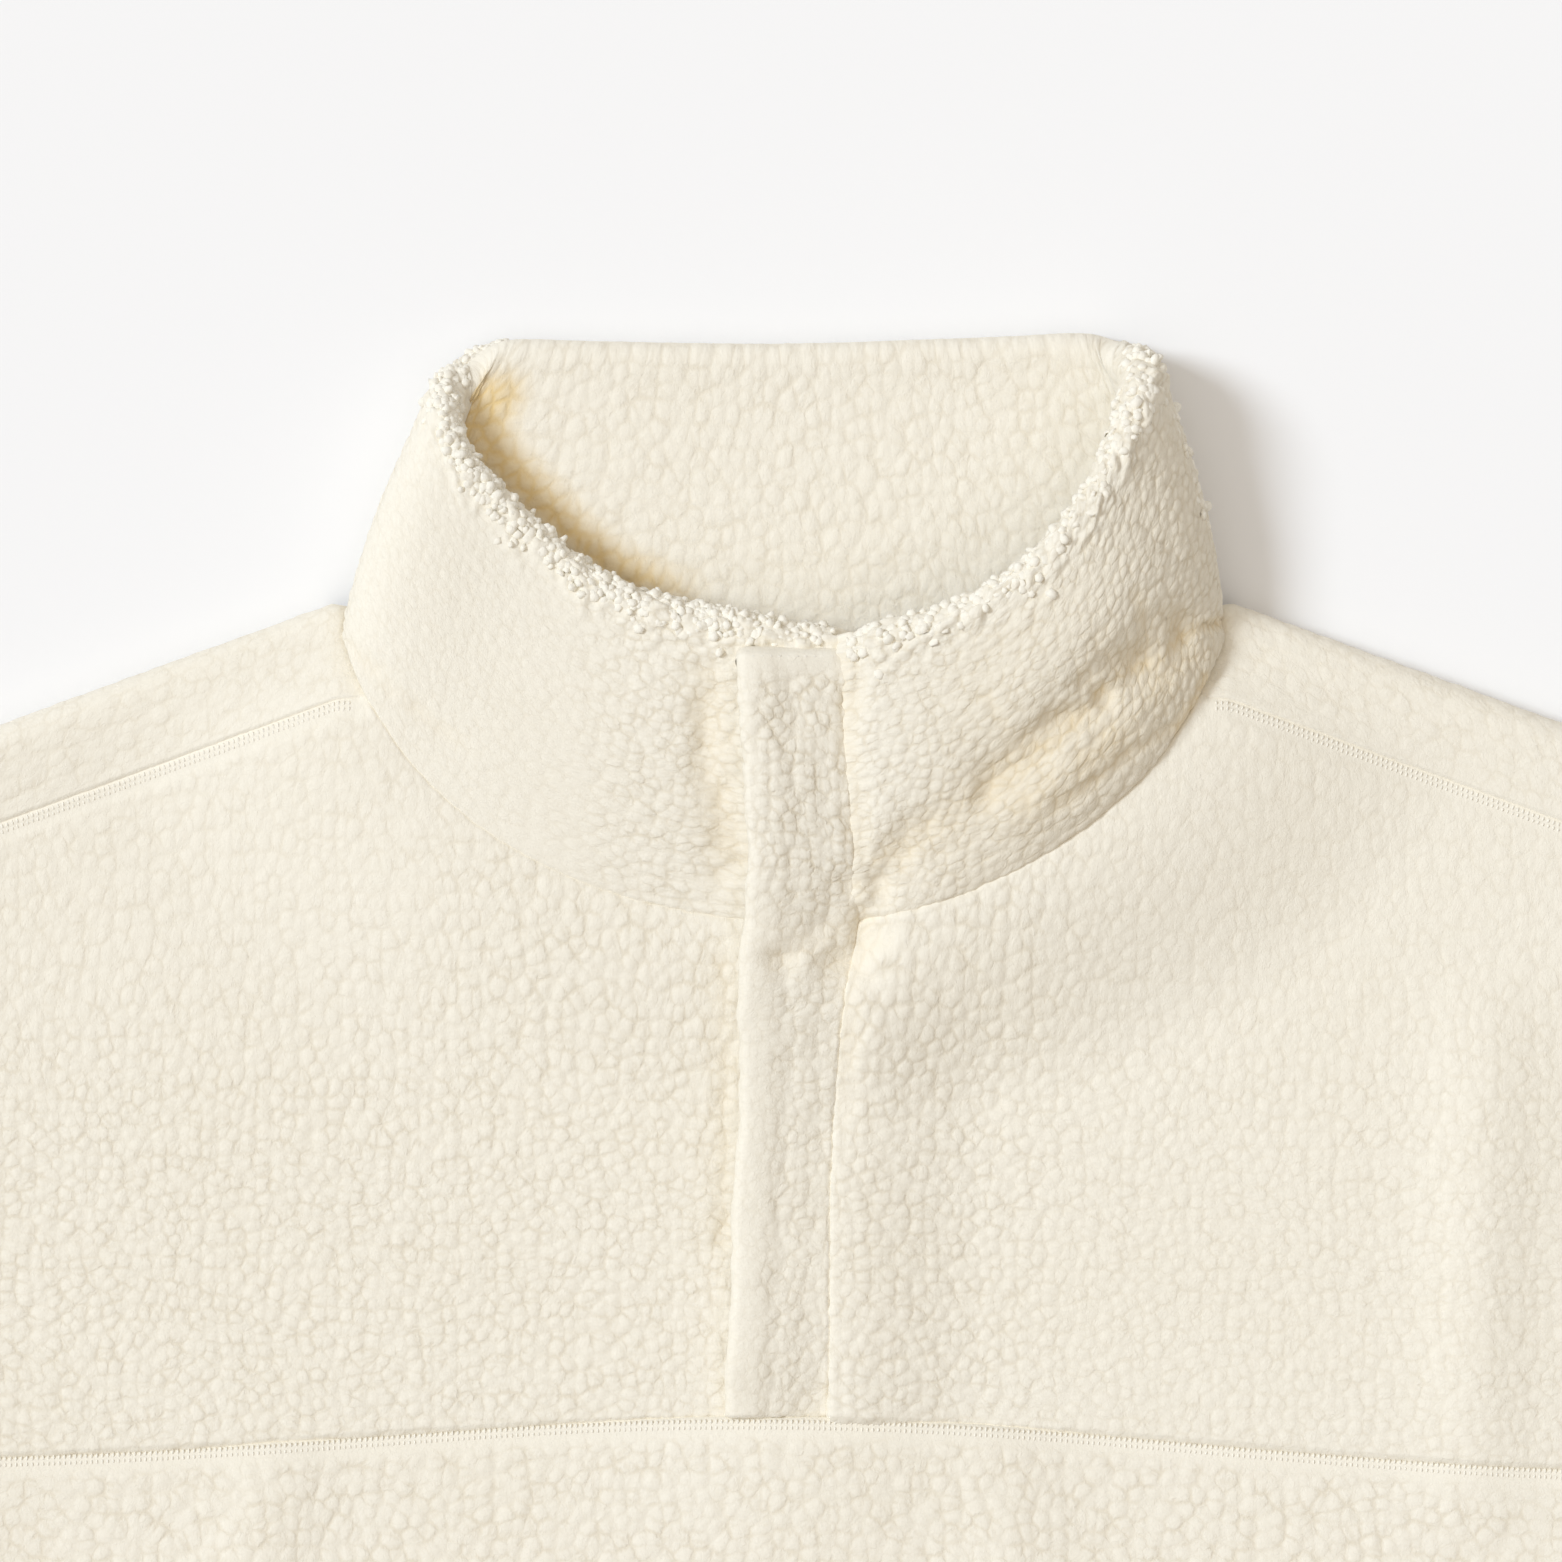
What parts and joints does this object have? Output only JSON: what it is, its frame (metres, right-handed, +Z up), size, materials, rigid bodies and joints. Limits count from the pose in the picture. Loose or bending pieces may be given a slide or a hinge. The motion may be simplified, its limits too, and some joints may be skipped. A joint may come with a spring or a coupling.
{
  "type": "sherpa fleece pullover",
  "caption": "Cream sherpa fleece pullover with a stand collar, a half placket, drop shoulders and long sleeves, laid flat on its back.",
  "frame": {"origin": "centre of the bounding box in plan, on the surface that the garment lies on", "axes": "+X across the body towards the right-hand cuff as seen from above, +Y towards the collar, +Z up out of the garment's front"},
  "size_m": [1.494, 0.768, 0.0424],
  "materials": {
    "fleece": "curly sherpa pile, matt"
  },
  "bodies": {
    "root": {"back": "fleece", "front_upper_left": "fleece", "front_upper_right": "fleece", "front_lower": "fleece", "placket_strip": "fleece", "collar_outer": "fleece", "collar_inner": "fleece", "sleeve_left": "fleece", "sleeve_right": "fleece"}
  },
  "joints": []
}
